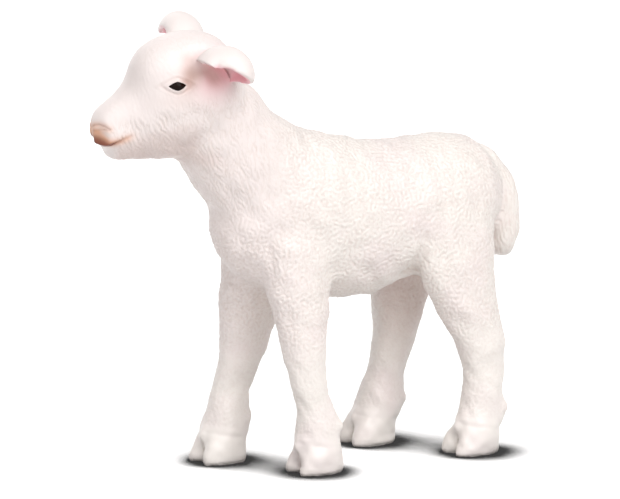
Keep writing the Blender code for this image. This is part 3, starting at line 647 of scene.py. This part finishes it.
def vinyl(name):
    """Satin vinyl whose tint drifts a little, with the paint, painted shade and the wool's grooves on it."""
    made = bpy.data.materials.new(name)
    made.use_nodes = True
    tree = made.node_tree
    shader = tree.nodes["Principled BSDF"]
    shader.inputs["IOR"].default_value = VINYL_IOR
    where = tree.nodes.new("ShaderNodeTexCoord").outputs["Object"]

    def noise(scale, detail):
        node = tree.nodes.new("ShaderNodeTexNoise")
        node.inputs["Scale"].default_value = scale
        node.inputs["Detail"].default_value = detail
        tree.links.new(where, node.inputs["Vector"])
        return node.outputs["Fac"]

    def mapped(value, low, high, start=0.0, end=1.0):
        node = tree.nodes.new("ShaderNodeMapRange")
        node.inputs["From Min"].default_value = low
        node.inputs["From Max"].default_value = high
        node.inputs["To Min"].default_value = start
        node.inputs["To Max"].default_value = end
        tree.links.new(value, node.inputs["Value"])
        return node.outputs["Result"]

    def mask(layer):
        node = tree.nodes.new("ShaderNodeAttribute")
        node.attribute_name = layer
        return node.outputs["Fac"]

    def over(under, colour, amount):
        node = tree.nodes.new("ShaderNodeMix")
        node.data_type = "RGBA"
        tree.links.new(amount, node.inputs[0])
        if isinstance(under, tuple):
            node.inputs[6].default_value = (*under, 1)
        else:
            tree.links.new(under, node.inputs[6])
        node.inputs[7].default_value = (*colour, 1)
        return node.outputs[2]

    def calculated(operation, first, second):
        node = tree.nodes.new("ShaderNodeMath")
        node.operation = operation
        for slot, value in enumerate((first, second)):
            if isinstance(value, float):
                node.inputs[slot].default_value = value
            else:
                tree.links.new(value, node.inputs[slot])
        return node.outputs[0]

    def tooled(field, width):
        """1 in the fine grooves that run where the field crosses its middle."""
        off_middle = calculated("ABSOLUTE", calculated("SUBTRACT", field, 0.5), 0.0)
        return mapped(off_middle, 0.0, width, 1.0, 0.0)

    lie = tree.nodes.new("ShaderNodeMapping")
    lie.inputs["Rotation"].default_value = (STROKE_TILT, 0, 0)
    lie.inputs["Scale"].default_value = (1, 1, STROKE_STRETCH)
    tree.links.new(where, lie.inputs["Vector"])
    worms = noise(CURL_SCALE, 1)
    worms.node.inputs["Distortion"].default_value = CURL_DISTORTION
    hairs = noise(STROKE_SCALE, 1)
    hairs.node.inputs["Distortion"].default_value = STROKE_DISTORTION
    tree.links.new(lie.outputs["Vector"], hairs.node.inputs["Vector"])
    curl_grooves = calculated("MULTIPLY", tooled(worms, CURL_GROOVE), mask("curly"))
    stroke_grooves = calculated("MULTIPLY", tooled(hairs, STROKE_GROOVE), mask("hairy"))
    fine = calculated("MAXIMUM", curl_grooves, stroke_grooves)

    drift = mapped(noise(DRIFT_SCALE, 2), 0.46, 0.70, 0.0, 0.8)
    colour = over(CREAM, ROSE_WHITE, calculated("MAXIMUM", drift, mask("rosy")))
    # painted shade: the carved grooves and the fine tooled ones are coloured darker
    colour = over(colour, GROOVE_SHADE_COLOUR, mapped(mask("groove"), 0.2, 1.0, 0.0, GROOVE_SHADE_AMOUNT))
    colour = over(colour, GROOVE_SHADE_COLOUR, calculated("MULTIPLY", fine, FINE_GROOVE_SHADE_AMOUNT))
    # the paints, and the brown painted shade of the hollows
    for layer, paint in PAINTS_AND_SHADE.items():
        colour = over(colour, paint, mask(layer))
    tree.links.new(colour, shader.inputs["Base Color"])
    tree.links.new(mapped(noise(SATIN_SCALE, 3), 0.3, 0.7, *SATIN), shader.inputs["Roughness"])
    bump = tree.nodes.new("ShaderNodeBump")
    bump.inputs["Strength"].default_value = 1.0
    bump.inputs["Distance"].default_value = TOOL_DEPTH
    bump.invert = True
    pores = calculated("MULTIPLY", noise(PORE_SCALE, 2), 0.25)
    tree.links.new(calculated("ADD", fine, pores), bump.inputs["Height"])
    tree.links.new(bump.outputs["Normal"], shader.inputs["Normal"])
    return made


def cut_moulding(name, material):
    """Takes one moulding off the carved skin and closes it where it meets its neighbours."""
    own = faces[owners == MOULDINGS.index(name)]
    used = np.unique(own)
    short = np.full(len(place), -1)
    short[used] = np.arange(len(used))
    quads = short[own]
    corners = place[used] * MM
    after = {}
    edges = {(a, b) for quad in quads.tolist() for a, b in zip(quad, quad[1:] + quad[:1])}
    for a, b in sorted(edges):
        if (b, a) not in edges:
            after.setdefault(b, []).append(a)
    inner = []
    inner_normals = []
    caps = []
    while after:
        first = next(iter(after))
        loop, here = [first], first
        while True:
            there = after[here].pop()
            if not after[here]:
                del after[here]
            if there == first:
                break
            loop.append(there)
            here = there
        # the closing face starts a little under the skin, where nothing of it shows
        down = -skin_normals[used[loop]]
        lip = list(range(len(corners) + len(inner), len(corners) + len(inner) + len(loop)))
        middle = lip[-1] + 1
        sunk = corners[loop] + down * JOINT_SUNK * MM
        inner += [*sunk, sunk.mean(axis=0) + down.mean(axis=0) * JOINT_SUNK * MM]
        inner_normals += [*down, down.mean(axis=0)]
        caps += [(a, b, d, c) for a, b, c, d in zip(loop, loop[1:] + loop[:1], lip, lip[1:] + lip[:1])]
        caps += [(a, b, middle) for a, b in zip(lip, lip[1:] + lip[:1])]
    mesh = bpy.data.meshes.new(name + "_vinyl")
    corners = np.array([*corners, *inner])
    mesh.from_pydata(corners.tolist(), [], quads.tolist() + caps)
    mesh.shade_smooth()
    mesh.normals_split_custom_set_from_vertices(np.array([*skin_normals[used], *inner_normals]).tolist())
    for layer, amounts in layers.items():
        attribute = mesh.attributes.new(layer, "FLOAT", "POINT")
        attribute.data.foreach_set("value", np.append(amounts[used], np.zeros(len(inner))).astype(np.float32))
    mesh.materials.append(material)
    piece = bpy.data.objects.new(name + "_vinyl", mesh)
    bpy.context.scene.collection.objects.link(piece)
    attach(piece, "root")
    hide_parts(name)
    return piece


skin_normals = normals_of(place, faces)
for name in MOULDINGS:
    cut_moulding(name, vinyl(name + "_finish"))

# Ears
# Each ear is a soft leaf of the same vinyl, moulded by itself and glued into its socket. It curls
# down along both edges and droops at its tip, and its inside is sprayed pink, strongest at the tip.
EAR_ROOT = -0.16  # the root's end, as a share of the length: it is behind the seat, in the head
EAR_RINGS = 56
EAR_STEPS = 27
EAR_SMOOTHING = 30
EAR_TIP_RINGS = 7
EAR_TIP_ROUND = 0.09
EAR_RIM_POWER = 3.2
EAR_ROOT_PINK = 0.30
EAR_TIP_PINK = 0.62
EAR_RIM_PINK = 0.62
EAR_PINK_FROM = -5 / 13  # from the outside at -1 to the inside at 1
EAR_PINK_FULL = 5 / 13
EAR_ROSE = 0.6
# how far along the ear, then width and curl in degrees of the front half and of the rear half
LEFT_EAR_STATIONS = (
    (0.00, 3.8, 96, 1.6, 50),
    (0.15, 3.8, 98, 2.4, 68),
    (0.32, 3.8, 101, 3.2, 88),
    (0.50, 3.8, 101, 3.7, 98),
    (0.68, 3.8, 101, 3.9, 102),
    (0.84, 3.5, 96, 3.8, 100),
    (0.94, 3.1, 86, 3.3, 90),
    (1.00, 2.5, 70, 2.6, 72),
)
RIGHT_EAR_STATIONS = (
    (0.00, 1.5, 50, 3.4, 80),
    (0.15, 2.3, 67, 4.1, 92),
    (0.32, 2.9, 86, 4.4, 100),
    (0.50, 3.1, 98, 4.2, 104),
    (0.68, 3.2, 106, 3.9, 104),
    (0.84, 3.2, 108, 3.6, 100),
    (0.94, 2.8, 100, 3.0, 92),
    (1.00, 2.2, 80, 2.2, 72),
)
# mm and degrees: it leaves the head at rise, ends at fall, points back by sweep and leans by roll
EARS = {
    "ear_left": {
        "side": 1, "length": 6.2, "rise": 34, "fall": -94, "sweep": 60, "roll": 43, "thickness": 0.80,
        "seat": (2.9, 2.65, 2.75), "stations": LEFT_EAR_STATIONS,
    },
    "ear_right": {
        "side": -1, "length": 7.4, "rise": 35, "fall": -76, "sweep": 23, "roll": 30, "thickness": 0.85,
        "seat": (2.3, 2.2, 3.6), "stations": RIGHT_EAR_STATIONS,
    },
}


def rise_of(value, start, end):
    """0 at the start and 1 at the end, in a straight line."""
    return min(max((value - start) / (end - start), 0), 1)


def leaf(side, length, rise, fall, sweep, roll, thickness, seat, stations):
    """Corner points, faces and pink spray of one ear, as rings round a curled, arched leaf."""
    rise, fall = math.radians(rise), math.radians(fall)
    lay = Matrix.Rotation(math.radians(sweep), 3, "Z") @ Matrix.Rotation(math.radians(-roll), 3, "X")
    to_head = np.diag([side, 1, 1]) @ np.array(lay)
    steps = np.linspace(EAR_ROOT, 1, EAR_RINGS)
    stations = np.array(stations, float)
    sizes = np.stack([np.interp(steps, stations[:, 0], column) for column in stations[:, 1:].T], axis=1)
    for _ in range(EAR_SMOOTHING):
        sizes[1:-1] = (sizes[:-2] + 2 * sizes[1:-1] + sizes[2:]) / 4
    rings = [(along, 1.0, *size) for along, size in zip(steps, sizes)]
    for step in range(1, EAR_TIP_RINGS + 1):
        turn = math.pi / 2 * step / EAR_TIP_RINGS
        rings.append((1 + EAR_TIP_ROUND * math.sin(turn), max(math.cos(turn), 0.03), *sizes[-1]))

    # each ring runs over the top from the front edge to the rear one, and back underneath
    across = np.sin(np.linspace(-1, 1, EAR_STEPS) * math.pi / 2)
    rim = np.sqrt(1 - np.abs(across) ** EAR_RIM_POWER)
    over_top = list(zip(across, rim, np.ones(EAR_STEPS)))
    underneath = list(zip(across, rim, -np.ones(EAR_STEPS)))[-2:0:-1]
    points, spray = [], []
    for along, left_over, front_width, front_curl, rear_width, rear_curl in rings:
        slope = rise + (fall - rise) * along
        run = (math.sin(slope) - math.sin(rise)) * length / (fall - rise)
        climb = (math.cos(rise) - math.cos(slope)) * length / (fall - rise)
        for s, r, outer in over_top + underneath:
            width, curl = (front_width, front_curl) if s < 0 else (rear_width, rear_curl)
            turn = s * left_over * math.radians(curl)
            bend = width / math.radians(curl)
            reach = bend + outer * thickness / 2 * r * left_over ** 0.5
            lift = reach * math.cos(turn) - bend
            spot = (run - math.sin(slope) * lift, reach * math.sin(turn), climb + math.cos(slope) * lift)
            seated = to_head @ np.array(spot) + np.array(seat) * (side, 1, 1)
            points.append(head_axes @ seated + HEAD_MIDDLE)
            inside = rise_of(-outer * r, EAR_PINK_FROM, EAR_PINK_FULL)
            pink = EAR_ROOT_PINK + EAR_TIP_PINK * rise_of(along, 0.3, 0.7)
            spray.append(max(inside * pink, EAR_RIM_PINK * rise_of(-s, 0.90, 0.98)))

    ring = len(over_top) + len(underneath)
    loops = [list(range(row * ring, (row + 1) * ring)) for row in range(len(rings))]
    own_faces = []
    for near, far in zip(loops, loops[1:]):
        own_faces += [[a, b, d, c] for a, b, c, d in zip(near, near[1:] + near[:1], far, far[1:] + far[:1])]
    own_faces += [loops[0][::-1], loops[-1]]
    if side > 0:
        own_faces = [face[::-1] for face in own_faces]
    return np.array(points), own_faces, spray


for name, ear in EARS.items():
    points, own_faces, spray = leaf(**ear)
    mesh = bpy.data.meshes.new(name + "_vinyl")
    mesh.from_pydata((points * MM).tolist(), [], own_faces)
    mesh.shade_smooth()
    for layer, amounts in (("blush", spray), ("rosy", [EAR_ROSE] * len(spray))):
        attribute = mesh.attributes.new(layer, "FLOAT", "POINT")
        attribute.data.foreach_set("value", amounts)
    mesh.materials.append(vinyl(name + "_finish"))
    piece = bpy.data.objects.new(name + "_vinyl", mesh)
    bpy.context.scene.collection.objects.link(piece)
    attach(piece, "root")
    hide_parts(name)

# Eyes
# The eyes are glossy black paint, laid thick in the almond between the lids, so they stand a
# little proud of the vinyl and catch the light.
EYE_RINGS = 8
EYE_STEPS = 36
EYE_PROUD = 0.035
EYE_DOME = 0.15
EYE_SUNK = 0.25
EYE_EDGE_SUNK = 0.01
OUTSIDE_HEAD = 8.0
EYE_BLACK = (0.006, 0.003, 0.002)
EYE_BROWN_BLACK = (0.016, 0.006, 0.004)
EYE_SHEEN = (0.10, 0.18)
EYE_IOR = 1.17
SPECK_SCALE = 2500

skin = BVHTree.FromPolygons(place.tolist(), faces[owners == MOULDINGS.index("head_and_neck")].tolist())
gloss = bpy.data.materials.new("eye_gloss")
gloss.use_nodes = True
tree = gloss.node_tree
shader = tree.nodes["Principled BSDF"]
shader.inputs["IOR"].default_value = EYE_IOR
speck = tree.nodes.new("ShaderNodeTexNoise")
speck.inputs["Scale"].default_value = SPECK_SCALE
tint = tree.nodes.new("ShaderNodeMix")
tint.data_type = "RGBA"
tint.inputs[6].default_value = (*EYE_BLACK, 1)
tint.inputs[7].default_value = (*EYE_BROWN_BLACK, 1)
tree.links.new(speck.outputs["Fac"], tint.inputs[0])
tree.links.new(tint.outputs[2], shader.inputs["Base Color"])
sheen = tree.nodes.new("ShaderNodeMapRange")
sheen.inputs["To Min"].default_value = EYE_SHEEN[0]
sheen.inputs["To Max"].default_value = EYE_SHEEN[1]
tree.links.new(speck.outputs["Fac"], sheen.inputs["Value"])
tree.links.new(sheen.outputs["Result"], shader.inputs["Roughness"])


def eye_spot(side, share, turn, proud):
    """A point of the paint, some share of the way from the eye's middle to its rim."""
    corners = abs(math.cos(turn)) ** EYE_CORNER_POWER + abs(math.sin(turn)) ** EYE_CORNER_POWER
    reach = share * corners ** (-1 / EYE_CORNER_POWER)
    ahead, up = slanted(
        reach * math.cos(turn) * EYE_HALF_LENGTH, reach * math.sin(turn) * EYE_HALF_HEIGHT, -EYE_SLANT
    )
    outside = np.array([side * OUTSIDE_HEAD, -EYE_MIDDLE[0] - ahead, EYE_MIDDLE[1] + up])
    toward = Vector(head_axes @ np.array([-side, 0, 0]))
    hit = skin.ray_cast(Vector(head_axes @ outside + HEAD_MIDDLE), toward)[0]
    lift = EYE_PROUD + EYE_DOME * (1 - share**2) if proud else -EYE_SUNK
    if share == 1:
        lift = -EYE_EDGE_SUNK
    return (hit - toward * lift) * MM


for side_name, side in (("left", 1), ("right", -1)):
    form = bmesh.new()
    loops = []
    for proud, rings in ((True, range(EYE_RINGS + 1)), (False, range(EYE_RINGS - 1, -1, -1))):
        for ring in rings:
            turns = [math.tau * step / EYE_STEPS for step in range(EYE_STEPS if ring else 1)]
            loops.append([form.verts.new(eye_spot(side, ring / EYE_RINGS, turn, proud)) for turn in turns])
    for near, far in zip(loops, loops[1:]):
        for step in range(EYE_STEPS):
            after = (step + 1) % EYE_STEPS
            if len(near) == 1:
                form.faces.new((near[0], far[step], far[after]))
            elif len(far) == 1:
                form.faces.new((near[step], far[0], near[after]))
            else:
                form.faces.new((near[step], far[step], far[after], near[after]))
    bmesh.ops.recalc_face_normals(form, faces=form.faces)
    mesh = bpy.data.meshes.new("eye_paint_" + side_name)
    form.to_mesh(mesh)
    form.free()
    mesh.shade_smooth()
    mesh.materials.append(gloss)
    eye = bpy.data.objects.new("eye_paint_" + side_name, mesh)
    bpy.context.scene.collection.objects.link(eye)
    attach(eye, "root")

# Table and light
# The figure stands on a white table in a bright tent: a broad soft lamp above and to the right, a
# weaker one to the left and a low one on the far side. Table and tent are full white only to the
# camera and in reflections, and a contact shadow is painted into the table's colour and glow right
# round the hooves.
TABLE_SIZE = 2.0  # m
TABLE_ROUGHNESS = 0.8
CONTACT_REACH = 8.0 * MM
CONTACT_CLOSE = 0.73
CONTACT_CLEAR = 0.97
CONTACT_WHITES = (0.03, 0.80)
TENT_LIGHT = 0.245
TENT_COLOUR = (1.0, 0.93, 0.90)
LAMPS = (
    # name, azimuth, height angle, watts, size in m
    ("key", 94, 45, 2.72, 0.50),
    ("fill", 30, 45, 1.05, 0.60),
    ("far side", 272, 24, 0.90, 0.60),
)
LAMP_DISTANCE = 0.6  # m
CAMERA_AZIMUTH = math.radians(58.0)
CAMERA_HEIGHT = math.radians(11.0)
CAMERA_AIM = (-5.852 * MM, 3.394 * MM, 20.33 * MM)
CAMERA_DISTANCE = 2.2  # m
PICTURE_WIDTH = 62.0 * MM
FILM_WIDTH = 36.0


def direction(azimuth, height):
    """The way from the figure to something at this azimuth and height angle."""
    flat = math.cos(height)
    return Vector((math.sin(azimuth) * flat, -math.cos(azimuth) * flat, math.sin(height)))


def either(tree, first, second):
    """1 where one of two yes-or-no values is 1."""
    node = tree.nodes.new("ShaderNodeMath")
    node.operation = "MAXIMUM"
    tree.links.new(first, node.inputs[0])
    tree.links.new(second, node.inputs[1])
    return node.outputs[0]


form = bmesh.new()
bmesh.ops.create_grid(form, x_segments=8, y_segments=8, size=TABLE_SIZE)
mesh = bpy.data.meshes.new("table")
form.to_mesh(mesh)
form.free()
table = bpy.data.objects.new("table", mesh)
bpy.context.scene.collection.objects.link(table)
white = bpy.data.materials.new("white_table")
white.use_nodes = True
tree = white.node_tree
shader = tree.nodes["Principled BSDF"]
shader.inputs["Roughness"].default_value = TABLE_ROUGHNESS
shader.inputs["Emission Color"].default_value = (1, 1, 1, 1)
shader.inputs["Specular IOR Level"].default_value = 0.0
# painted contact shadow: the table's colour and its glow both darken where the hooves crowd close
closeness = tree.nodes.new("ShaderNodeAmbientOcclusion")
closeness.inputs["Distance"].default_value = CONTACT_REACH
painted_contact_shadow = tree.nodes.new("ShaderNodeMapRange")
painted_contact_shadow.interpolation_type = "SMOOTHSTEP"
painted_contact_shadow.inputs["From Min"].default_value = CONTACT_CLOSE
painted_contact_shadow.inputs["From Max"].default_value = CONTACT_CLEAR
painted_contact_shadow.inputs["To Min"].default_value = CONTACT_WHITES[0]
painted_contact_shadow.inputs["To Max"].default_value = CONTACT_WHITES[1]
tree.links.new(closeness.outputs["AO"], painted_contact_shadow.inputs["Value"])
tree.links.new(painted_contact_shadow.outputs["Result"], shader.inputs["Base Color"])
seen = tree.nodes.new("ShaderNodeLightPath")
glow = tree.nodes.new("ShaderNodeMath")
glow.operation = "MULTIPLY"
tree.links.new(either(tree, seen.outputs["Is Camera Ray"], seen.outputs["Is Glossy Ray"]), glow.inputs[0])
tree.links.new(painted_contact_shadow.outputs["Result"], glow.inputs[1])
tree.links.new(glow.outputs[0], shader.inputs["Emission Strength"])
table.data.materials.append(white)

tent = bpy.data.worlds.new("tent")
tent.use_nodes = True
tree = tent.node_tree
seen = tree.nodes.new("ShaderNodeLightPath")
straight = either(tree, seen.outputs["Is Camera Ray"], seen.outputs["Is Glossy Ray"])
straight = either(tree, straight, seen.outputs["Is Transmission Ray"])
strength = tree.nodes.new("ShaderNodeMapRange")
strength.inputs["To Min"].default_value = TENT_LIGHT
strength.inputs["To Max"].default_value = 1.0
tree.links.new(straight, strength.inputs["Value"])
tree.links.new(strength.outputs["Result"], tree.nodes["Background"].inputs["Strength"])
tint = tree.nodes.new("ShaderNodeMix")
tint.data_type = "RGBA"
tint.inputs[6].default_value = (*TENT_COLOUR, 1)
tint.inputs[7].default_value = (1, 1, 1, 1)
tree.links.new(straight, tint.inputs[0])
tree.links.new(tint.outputs[2], tree.nodes["Background"].inputs["Color"])
bpy.context.scene.world = tent

aim = Vector(CAMERA_AIM)
for name, azimuth, height, watts, size in LAMPS:
    lamp = bpy.data.lights.new(name, "AREA")
    lamp.energy = watts
    lamp.size = size
    holder = bpy.data.objects.new(name, lamp)
    back = direction(math.radians(azimuth), math.radians(height))
    holder.location = aim + back * LAMP_DISTANCE
    holder.rotation_euler = back.to_track_quat("Z", "Y").to_euler()
    bpy.context.scene.collection.objects.link(holder)

camera = bpy.data.objects.new("camera", bpy.data.cameras.new("camera"))
back = direction(CAMERA_AZIMUTH, CAMERA_HEIGHT)
camera.location = aim + back * CAMERA_DISTANCE
camera.rotation_euler = back.to_track_quat("Z", "Y").to_euler()
camera.data.sensor_width = FILM_WIDTH
camera.data.lens = FILM_WIDTH * CAMERA_DISTANCE / PICTURE_WIDTH
camera.data.clip_start = 0.01
bpy.context.scene.collection.objects.link(camera)
bpy.context.scene.camera = camera
bpy.context.scene.view_settings.view_transform = "Standard"
